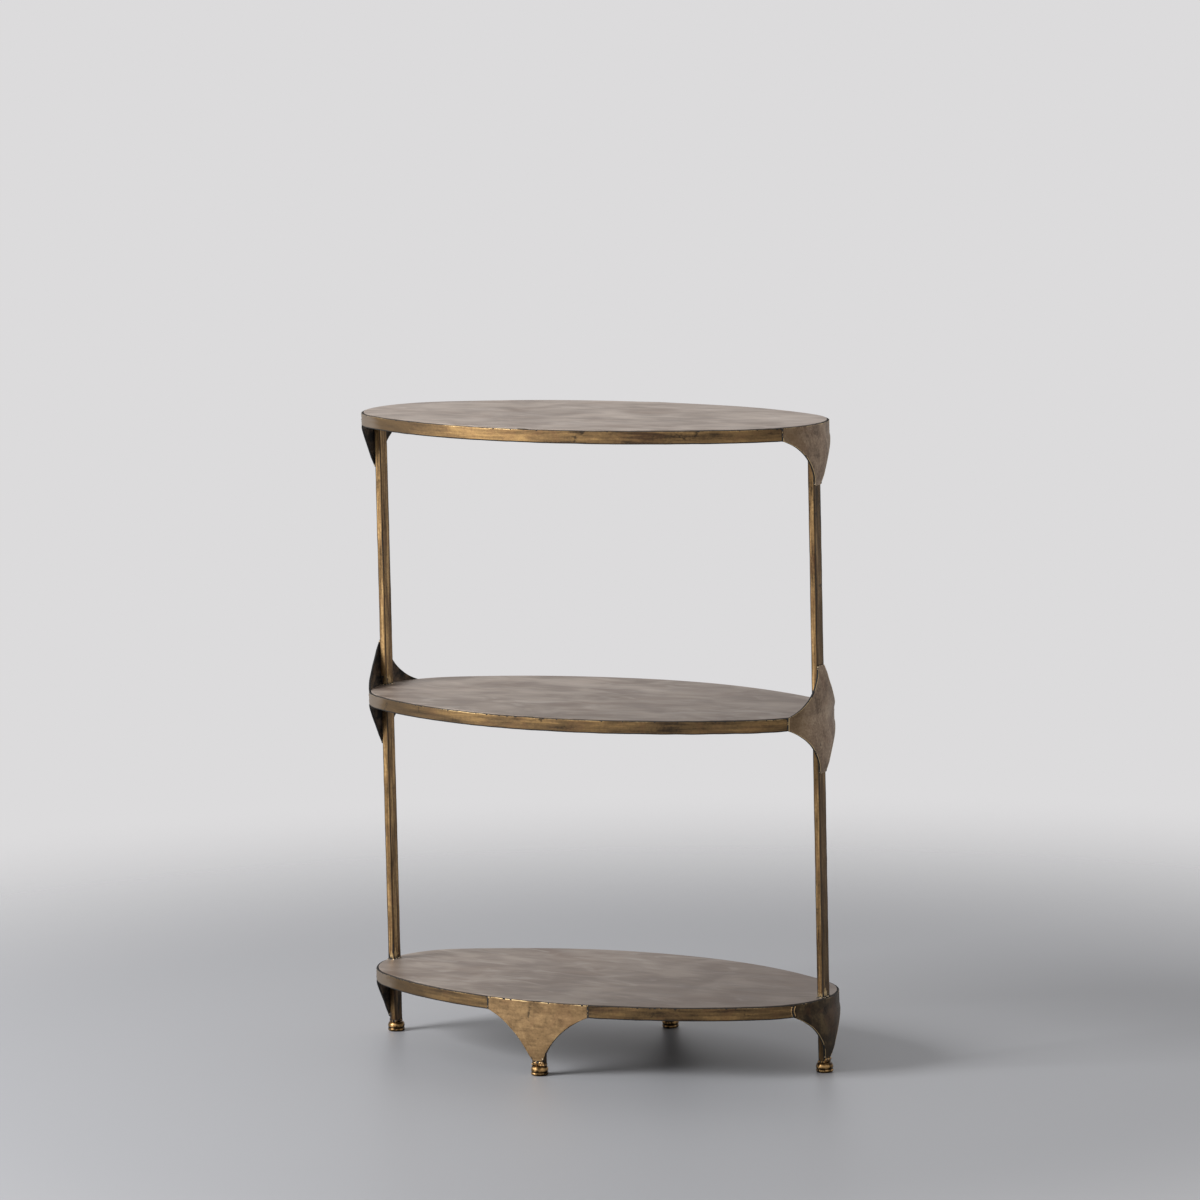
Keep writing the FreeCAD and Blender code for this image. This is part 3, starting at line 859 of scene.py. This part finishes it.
def draw_leaf(name, rows):
    """A flat sheet, drawn up from its lowest row and widened row by row"""
    (low, half), (second, second_half) = rows[:2]
    bpy.ops.object.select_all(action="DESELECT")
    bpy.ops.mesh.primitive_grid_add(x_subdivisions=LEAF_COLUMNS, y_subdivisions=1, size=2)
    bpy.context.object.scale = (half, (second - low) / 2, 1)
    bpy.context.object.location = (0, (low + second) / 2, 0)
    leaf = start(name)
    pick(leaf, "VERT", lambda vertex: vertex.co.y > (low + second) / 2)
    bpy.ops.transform.resize(value=(second_half / half, 1, 1), center_override=(0, 0, 0))
    for (below, narrow), (above, wide) in zip(rows[1:], rows[2:]):
        bpy.ops.mesh.extrude_region_move(TRANSFORM_OT_translate={"value": (0, above - below, 0)})
        bpy.ops.transform.resize(value=(wide / narrow, 1, 1), center_override=(0, 0, 0))
    close()
    edit(leaf, "FACE")
    face_outwards()
    close()
    if not looks_out(leaf.data.polygons[0]):
        edit(leaf, "FACE")
        bpy.ops.mesh.select_all(action="SELECT")
        bpy.ops.mesh.flip_normals()
        close()
    return leaf


def grind_tips(leaf, tips):
    """Thin a leaf from its outer face towards its tips, so that they lie flush on the bar"""
    for vertex in leaf.data.vertices:
        near = min(abs(vertex.co.y - tip) for tip in tips) / TIP_GROUND
        if near < 1:
            share = (1 - near) ** 2 * (1 + 2 * near)
            vertex.co.z -= share * (SHEET - TIP_THICK) * (1 + vertex.co.z / SHEET)


def gather_sides(leaf, rows):
    """Crowd a leaf's columns, the last but one close to the side, so that wear can stay near the edge"""
    heights, halves = zip(*rows)
    last_share = 1 - 2 / LEAF_COLUMNS
    for vertex in leaf.data.vertices:
        half = float(np.interp(vertex.co.y, heights, halves))
        share = vertex.co.x / half
        if abs(share) < (1 + last_share) / 2:
            vertex.co.x = share / last_share * (half - EDGE_ROW)


# %% [markdown]
# The flat leaf gets its thickness and its filed edges, is thinned at its tips and rolled to
# the oval, and bows out a little as the hammer left it. The gussets at the shelf's ends are
# rubbed most along their hollow edges, which gives them a bright fringe that is partly a
# painted highlight.

# %% Gussets
BOWS = {"right": 0.0026, "left": 0.0026, "front": 0.0012, "back": 0.0012}
BOW_SKEW = 0.75
# How strongly the hollow edges are rubbed bright, partly as a painted highlight.
HOLLOW_RUB_AND_HIGHLIGHT = {"right": 2.2, "left": 2.2, "front": 1.0, "back": 1.0}


def gusset(tier, side, finish):
    node = "%s_gusset_%s" % (tier, side)
    band_low, band_high = span(tier + ("_band_back" if tier != "bottom" else "_band_back_left"), 2)
    curve = EDGE_CURVES[side]
    rows = [(height, curve * asin(half / curve))
            for height, half in leaf_rows(node, side, band_low, band_high)]
    low, high = rows[0][0], rows[-1][0]
    tips = (low, high) if high - band_high > SHEET else (low,)
    leaf = draw_leaf(node + "_leaf", rows)
    gather_sides(leaf, rows)
    thickness = leaf.modifiers.new("thickness", "SOLIDIFY")
    thickness.thickness, thickness.offset = SHEET, -1
    finish_modifiers(leaf)
    seam = max(half for _, half in rows)

    # Where a gusset's arrises are rubbed bright, partly as a painted highlight.
    def rubbed(at):
        if at.z < -RUBBED_DEPTH or abs(at.x) > seam - ARRIS - HAIR:
            return 0.0
        return 1.0 if len(tips) == 1 and at.y > band_low + HAIR else HOLLOW_RUB_AND_HIGHLIGHT[side]

    # Black at the gusset's seams, which are dark joints; at the upper edge and by depth as for the bands.
    def soot_and_shade(vertex):
        along, up, out = vertex.co
        if abs(along) > seam - ARRIS - HAIR:
            return 1.0
        if len(tips) == 1 and up > high - HAIR:
            return ledge_dark(out)
        return soot_and_shade_at(out, WIPED_TOP if band_low < up < band_high else WIPED_EDGE)

    round_arrises(leaf, ARRIS, rubbed)
    remember(leaf, "soot_and_shade", soot_and_shade)
    lay_map(leaf)
    grind_tips(leaf, tips)
    reach = band_low - low

    def bow(along, up):
        away = min(max(band_low - up, up - band_high, 0.0) / reach, 1.0)
        return BOWS[side] * sin(pi * away ** BOW_SKEW)

    roll(leaf, MIDDLES[side], bow)
    beat(leaf)
    soften(leaf)
    hand_over(leaf, finish, node)


for tier in TIERS:
    gusset(tier, "left", GUSSET)
    gusset(tier, "right", DARK_AND_SHADED_GUSSET if tier == "bottom" else GUSSET)
for side in ("front", "back"):
    gusset("bottom", side, GOLD_GUSSET)
print("gussets made")

# %% [markdown]
# Posts and legs are lengths of flat bar. A plain block would do for their shape, but its
# corners would be too sharp to catch the light, and the hammer marks could not bend it. So
# the block is cut across every few millimetres, and its corners are rounded.

# %% Posts and legs
BAR_CORNER = 0.0009
BAR_STEP, BAR_ROW = 0.012, 0.004
BARE, BARE_REACH = 1.25, 0.028
CORNER_SHADE, LOWER_PAINTED_SHADE = 0.62, 0.5


def bar(node, finish):
    low, high = (Vector(corner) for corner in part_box(node))
    bpy.ops.object.select_all(action="DESELECT")
    bpy.ops.mesh.primitive_cube_add(size=1, scale=high - low, location=(low + high) / 2)
    piece = start(node + "_bar")
    cut_across(piece, 2, BAR_STEP)
    cut_across(piece, 1, BAR_ROW)
    cut_across(piece, 0, BAR_ROW)
    bare = BARE if "post" in node else BARE / 2

    def rub_and_highlight(vertex):
        """The bar is bare over its lower weld, and less so further up"""
        return bare * max(0.0, 1 - (vertex.co.z - low.z) / BARE_REACH) ** 0.5

    def painted_shade(vertex):
        """Painted shade: the right hand bars are dark on their outer face, which looks away from the lamp,
        the lower one on the rest too
        """
        if low.x < 0:
            return 0.0
        if vertex.co.x > high.x - HAIR:
            return 1.0
        return LOWER_PAINTED_SHADE if node.startswith("lower") else 0.0

    round_arrises(piece, BAR_CORNER)
    # Painted shade along the bar's rounded corners.
    remember(piece, "soot_and_shade", lambda vertex: CORNER_SHADE * vertex.select)
    remember(piece, "rub_and_highlight", rub_and_highlight)
    remember(piece, "painted_shade", painted_shade)
    lay_map(piece, lambda x, y, z: (x + y, z))
    beat(piece)
    soften(piece)
    hand_over(piece, finish, node)


for node in sorted(nodes):
    if "post" in node or "leg" in node:
        bar(node, BAR if "post" in node else SHADED_LEG)
print("posts and legs made")

# %% [markdown]
# A foot is turned on a lathe, so it is drawn as half its profile, point after point, and
# spun round its axis. Discs of several widths could be stacked for it too, but a profile is
# what the turner sees, and it is easy to change.

# %% Feet
FOOT_STEPS = 56
FOOT_PROFILE = [(0.0, 0.0), (9.9, 0.0), (11.2, 0.3), (12.2, 1.1), (12.8, 2.3), (12.9, 3.4), (12.7, 4.3),
                (12.3, 4.9), (12.0, 5.3), (12.0, 5.8), (12.3, 6.4), (12.6, 7.4), (12.7, 8.8), (12.5, 10.2),
                (12.1, 11.6), (11.5, 12.9), (10.9, 13.8), (10.0, 14.5), (0.0, 14.5)]
LIP, GROOVE, BEAD = (2.0, 4.4), (4.8, 6.0), (7.0, 12.0)
SOLE = 0.5
MERGE_WITHIN = 0.01 * MILLIMETRE


def foot(node):
    low, high = (Vector(corner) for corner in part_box(node))
    middle = (low + high) / 2
    bpy.ops.object.select_all(action="DESELECT")
    bpy.ops.mesh.primitive_plane_add(size=MILLIMETRE, location=(0, 0, 0))
    piece = start(node + "_turned")
    edit(piece, "VERT")
    bpy.ops.mesh.select_all(action="SELECT")
    bpy.ops.mesh.merge(type="CENTER")
    for (radius, rise), (next_radius, next_rise) in zip(FOOT_PROFILE, FOOT_PROFILE[1:]):
        step = ((next_radius - radius) * MILLIMETRE, 0, (next_rise - rise) * MILLIMETRE)
        bpy.ops.mesh.extrude_region_move(TRANSFORM_OT_translate={"value": step})
    bpy.ops.mesh.select_all(action="SELECT")
    bpy.ops.mesh.spin(steps=FOOT_STEPS, angle=2 * pi, center=(0, 0, 0), axis=(0, 0, 1))
    bpy.ops.mesh.select_all(action="SELECT")
    bpy.ops.mesh.remove_doubles(threshold=MERGE_WITHIN)
    face_outwards()
    close()
    # The lip and bead are marked for painted highlights, the groove for painted shade and the sole for a
    # painted contact shadow.
    remember(piece, "rub_and_highlight", lambda vertex: float(any(
        near < vertex.co.z / MILLIMETRE < far for near, far in (LIP, BEAD))))
    remember(piece, "soot_and_shade", lambda vertex: float(
        GROOVE[0] < vertex.co.z / MILLIMETRE < GROOVE[1] or vertex.co.z < SOLE * MILLIMETRE))
    piece.data.transform(Matrix.Translation((middle.x, middle.y, low.z)))
    soften(piece, 50)
    hand_over(piece, FOOT, node)


for side in SIDES:
    foot("foot_" + side)
print("feet made")

# %% [markdown]
# A weld bead is a row of small frozen puddles, each half over the last. One squashed ball
# is copied along the joint, a little moved and resized each time, and the balls are melted
# into one skin by a voxel remesh. A thick curve along the joint would look like wire.

# %% Weld beads
BALL_STEPS = 2
DROP_SIZES, DROP_HEIGHTS, DROP_SHIFT = (0.7, 1.25), (0.8, 1.2), 0.2
FINE_GRAIN, COARSE_GRAIN = 0.0004, 0.0005

bpy.ops.object.select_all(action="DESELECT")
bpy.ops.mesh.primitive_ico_sphere_add(subdivisions=BALL_STEPS, radius=1)
ball = bpy.context.object
print("a ball of", len(ball.data.polygons), "faces")


def bead(name, route, out, height, width, finish, grain=FINE_GRAIN):
    """Puddles along a route, flat along the direction that is out of the joint"""
    turn = out.to_track_quat("Z", "Y").to_matrix().to_4x4()
    drops = []
    for place in route:
        drop = bpy.data.objects.new(name, ball.data.copy())
        size = draw.uniform(*DROP_SIZES)
        shift = Vector([draw.uniform(-DROP_SHIFT, DROP_SHIFT) * width for _ in range(3)])
        stretch = Matrix.Diagonal((width * size, width * size, height * draw.uniform(*DROP_HEIGHTS), 1))
        drop.data.transform(Matrix.Translation(place + shift) @ turn @ stretch)
        bpy.context.collection.objects.link(drop)
        drops.append(drop)
    bpy.ops.object.select_all(action="DESELECT")
    for drop in drops:
        drop.select_set(True)
    bpy.context.view_layer.objects.active = drops[0]
    bpy.ops.object.join()
    skin = drops[0].modifiers.new("melt", "REMESH")
    skin.mode, skin.voxel_size = "VOXEL", grain
    finish_modifiers(drops[0])
    soften(drops[0], 60)
    hand_over(drops[0], finish)


def straight(first, last, gap):
    """Places on a line, evenly spaced and at most a gap apart"""
    steps = max(1, ceil((last - first).length / gap))
    return [first.lerp(last, step / steps) for step in range(steps + 1)]


def outwards(angle):
    return Vector((cos(angle), sin(angle), 0))


# %% [markdown]
# Where a band meets a gusset, the joint runs straight up the face, and the bead in it was
# filed nearly flush. A dark line in the finish could stand for it from afar. Here a route
# of puddles is sunk into the joint, so that only its ridges stand out.

# %% Welds between the bands and the gussets
SEAM_SINK = 0.0008
SEAM_GAP = 0.001
SEAM_STEP, SEAM_HEIGHT, SEAM_WIDTH = 1.3 * SEAM_GAP, 0.0011, 0.0013
for tier in TIERS:
    low, high = span(tier + ("_band_back" if tier != "bottom" else "_band_back_left"), 2)
    for side in SIDES if tier == "bottom" else ("left", "right"):
        half = END_SEAM if side in ("left", "right") else SIDE_SEAM
        for end in (-1, 1):
            angle = facing(MIDDLES[side] + end * half)
            seam = oval_point(angle, SEAM_SINK)
            first, last = Vector((*seam, low + SEAM_GAP)), Vector((*seam, high - SEAM_GAP))
            name = "%s_seam_%s_%s" % (tier, side, "before" if end < 0 else "after")
            bead(name, straight(first, last, SEAM_STEP), outwards(angle), SEAM_HEIGHT, SEAM_WIDTH,
                 SEAM_WELD)
print("seams welded,", len(made), "pieces so far")

# %% [markdown]
# At one seam of the bottom shelf the file left two curved ripples of weld, which catch the
# light. They could be a bump in the finish, but a real ridge shades itself from every side.
# So they are two thin beads that sag away from the seam.

# %% Ripples at one seam
RIPPLE_PLACES = (-0.0016, 0.0036)
RIPPLE_SAG, RIPPLE_STEPS, RIPPLE_MARGIN = 0.0018, 12, 0.003
RIPPLE_SINK, RIPPLE_HEIGHT, RIPPLE_WIDTH = 0.0002, 0.0010, 0.0009
low, high = span("bottom_band_front_right", 2)
for name, offset in zip(("outer", "inner"), RIPPLE_PLACES):
    route = []
    for step in range(RIPPLE_STEPS + 1):
        share = step / RIPPLE_STEPS
        along = MIDDLES["right"] - END_SEAM + offset - RIPPLE_SAG * sin(pi * share)
        place = oval_point(facing(along), RIPPLE_SINK)
        route.append(Vector((*place, low + RIPPLE_MARGIN + (high - low - 2 * RIPPLE_MARGIN) * share)))
    bead("bottom_seam_right_ripple_" + name, route, outwards(facing(MIDDLES["right"] - END_SEAM)),
         RIPPLE_HEIGHT, RIPPLE_WIDTH, RIPPLE_WELD)
print("ripples made,", len(made), "pieces so far")

# %% [markdown]
# The bars stand on the plates in a bead that runs round all four sides, and each leg ends
# in a heavier one over its foot. A ring would be quicker, but it is round and the bar is
# not, so the puddles follow the bar's outline at the height of the joint.

# %% Welds round the bars
RING_STEP, RING_WIDTH = 0.0019, 0.0014
COLLAR_STEP, COLLAR_WIDTH, COLLAR_REACH, COLLAR_RISE = 0.0042, 0.0022, -0.0008, 0.0016


def bar_ring(name, node, height, finish=SEAM_WELD, reach=0.0, gap=RING_STEP, width=RING_WIDTH):
    """A bead round a bar at a height, its middle at a reach outside the bar"""
    low, high = (Vector(corner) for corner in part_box(node))
    corners = [Vector((x, y, height)) for x, y in
               ((low.x - reach, low.y - reach), (high.x + reach, low.y - reach),
                (high.x + reach, high.y + reach), (low.x - reach, high.y + reach))]
    route = []
    for first, last in zip(corners, corners[1:] + corners[:1]):
        route += straight(first, last, gap)[:-1]
    bead(name, route, Vector((0, 0, 1)), width, width, finish, COARSE_GRAIN)


for side in ("left", "right"):
    for post, below, above in (("lower_post_", "bottom_plate", "middle_plate"),
                               ("upper_post_", "middle_plate", "top_plate")):
        bar_ring(post + side + "_base_weld", post + side, span(below, 2)[1], TACK_WELD)
        bar_ring(post + side + "_head_weld", post + side, span(above, 2)[0])
for side in SIDES:
    bar_ring("leg_%s_head_weld" % side, "leg_" + side, span("bottom_plate", 2)[0])
    bar_ring("leg_%s_foot_weld" % side, "leg_" + side, span("foot_" + side, 2)[1] + COLLAR_RISE,
             FOOT_WELD, COLLAR_REACH, COLLAR_STEP, COLLAR_WIDTH)
print("bars welded,", len(made), "pieces so far")

# %% [markdown]
# A gusset's tip is tacked to its bar: a blob at either corner, and a thin line of weld
# between them. Over each foot a thicker bead crosses the bar's outer face. Single balls
# would do for the blobs, but short routes of the same puddles match the other welds.

# %% Tacks at the tips of the gussets
TACK_PLACES = (-0.0092, 0.0088)
TACK_SINK, TACK_LENGTH, TACK_STEP, TACK_WIDTH = 0.002, 0.0028, 0.0014, 0.0015
TIP_LINE_RISE, TIP_LINE_REACH, TIP_LINE_STEP, TIP_LINE_WIDTH = 0.0004, 0.006, 0.0016, 0.0009
TOE_RISE, TOE_REACH, TOE_STEP, TOE_HEIGHT, TOE_WIDTH = 0.0042, 0.0072, 0.0032, 0.0016, 0.0026


def bar_face(side, height):
    """The bar's outer face at a height: the way it looks, the way across it, and its middle"""
    angle = facing(MIDDLES[side])
    out = outwards(angle)
    return out, Vector((-out.y, out.x, 0)), Vector((*oval_point(angle, SHEET), height))


def tip_tack(tier, side, up):
    """A blob at each corner of a gusset's tip, and a thin seam between them"""
    node = "%s_gusset_%s" % (tier, side)
    tip = span(node, 2)[1 if up > 0 else 0]
    out, across, middle = bar_face(side, tip - up * TIP_LINE_RISE)
    name = "%s_tack_%s_%s" % (tier, side, "above" if up > 0 else "below")
    route = straight(middle - across * TIP_LINE_REACH, middle + across * TIP_LINE_REACH, TIP_LINE_STEP)
    bead(name, route, out, TIP_LINE_WIDTH, TIP_LINE_WIDTH, SEAM_WELD)
    for corner, place in zip(("before", "after"), TACK_PLACES):
        spot = middle + across * place - Vector((0, 0, up * TACK_SINK))
        route = straight(spot, spot - Vector((0, 0, up * TACK_LENGTH)), TACK_STEP)
        bead(name + "_" + corner, route, out, TACK_WIDTH, TACK_WIDTH, TACK_WELD)


def toe_weld(side):
    """A heavy weld on the leg's outer face, between the gusset's tip and the foot"""
    out, across, middle = bar_face(side, span("foot_" + side, 2)[1] + TOE_RISE)
    route = straight(middle - across * TOE_REACH, middle + across * TOE_REACH, TOE_STEP)
    bead("leg_%s_toe_weld" % side, route, out, TOE_HEIGHT, TOE_WIDTH, FOOT_WELD, COARSE_GRAIN)


for side in ("left", "right"):
    tip_tack("top", side, -1)
    tip_tack("middle", side, -1)
    tip_tack("middle", side, 1)
for side in SIDES:
    tip_tack("bottom", side, -1)
    toe_weld(side)
bpy.data.objects.remove(ball)
print("tips tacked,", len(made), "pieces in all")

# %% [markdown]
# The floor is plain and pale, and keeps the shelf's shadow. A curved backdrop would hold
# the light as a studio's does, but it would block the view from behind. So the floor fades
# with distance from the shelf, and has no edge from any side.

# %% Floor
FLOOR_TONE = colour(178, 179, 183)
FLOOR_ROUGHNESS = 0.45
FADE_FROM, FADE_TO = 0.9, 2.4
FLOOR_WIDTH = 4 * FADE_TO

bpy.ops.object.select_all(action="DESELECT")
bpy.ops.mesh.primitive_plane_add(size=FLOOR_WIDTH)
floor = bpy.context.object
floor.name = "floor"
ground = Finish("floor", Base_Color=FLOOR_TONE, Roughness=FLOOR_ROUGHNESS)
distance = ground.node("ShaderNodeVectorMath", {"operation": "LENGTH"}, {0: ground.place()}, "Value")
faded = ground.node("ShaderNodeMixShader", inputs={
    0: ground.between(distance, FADE_FROM, FADE_TO),
    1: Wire(ground, ground.shader.outputs[0]),
    2: ground.node("ShaderNodeBsdfTransparent")})
ground.feed(ground.tree.nodes["Material Output"].inputs["Surface"], faded)
floor.data.materials.append(ground.material)
print("floor %.1f m wide" % FLOOR_WIDTH)

# %% [markdown]
# The shelf stands in soft white light from all round. The camera, and whatever the metal
# mirrors, sees the pale backdrop instead, because Light Path tells those rays apart. That
# keeps the backdrop's tone free of the light's strength.

# %% The room
BACKDROP = colour(220, 219, 220)
ROOM_LIGHT = 0.34

bpy.context.scene.world = bpy.data.worlds.new("room")
bpy.context.scene.world.use_nodes = True
room = Nodes(bpy.context.scene.world.node_tree)
shown = Wire(room, room.tree.nodes["Background"].outputs[0])
room.feed(room.tree.nodes["Background"].inputs["Color"], BACKDROP)
lit = room.node("ShaderNodeBackground", inputs={"Color": (1, 1, 1, 1), "Strength": ROOM_LIGHT})
camera_ray, glossy_ray, clear_ray = (room.node("ShaderNodeLightPath", output="Is %s Ray" % kind)
                                     for kind in ("Camera", "Glossy", "Transmission"))
seen = camera_ray.most(glossy_ray).most(clear_ray)
blend = room.node("ShaderNodeMixShader", inputs={0: seen, 1: lit, 2: shown})
room.feed(room.tree.nodes["World Output"].inputs["Surface"], blend)
print("room lit at", ROOM_LIGHT)

# %% [markdown]
# One large lamp stands in front, a little to the left. It gives the metal its soft
# highlights and the shelf its shadow. A small or distant lamp would make both hard.

# %% The lamp
LAMP_PLACE = Vector((-2.9, -3.2, 2.4))
LAMP_AIM = Vector((0, 0, 0.5))
LAMP_SIZE = 2.0
LAMP_POWER = 240.0

bpy.ops.object.light_add(type="AREA", location=LAMP_PLACE)
lamp = bpy.context.object
lamp.data.size = LAMP_SIZE
lamp.data.energy = LAMP_POWER
lamp.rotation_euler = (LAMP_AIM - LAMP_PLACE).to_track_quat("-Z", "Y").to_euler()
bpy.context.scene.view_settings.view_transform = "Standard"
print("lamp %.2f m from the shelf" % (LAMP_AIM - LAMP_PLACE).length)

# %% [markdown]
# Last, the number of pieces made is printed.

# %% Count of the pieces
print(len(made), "pieces made")
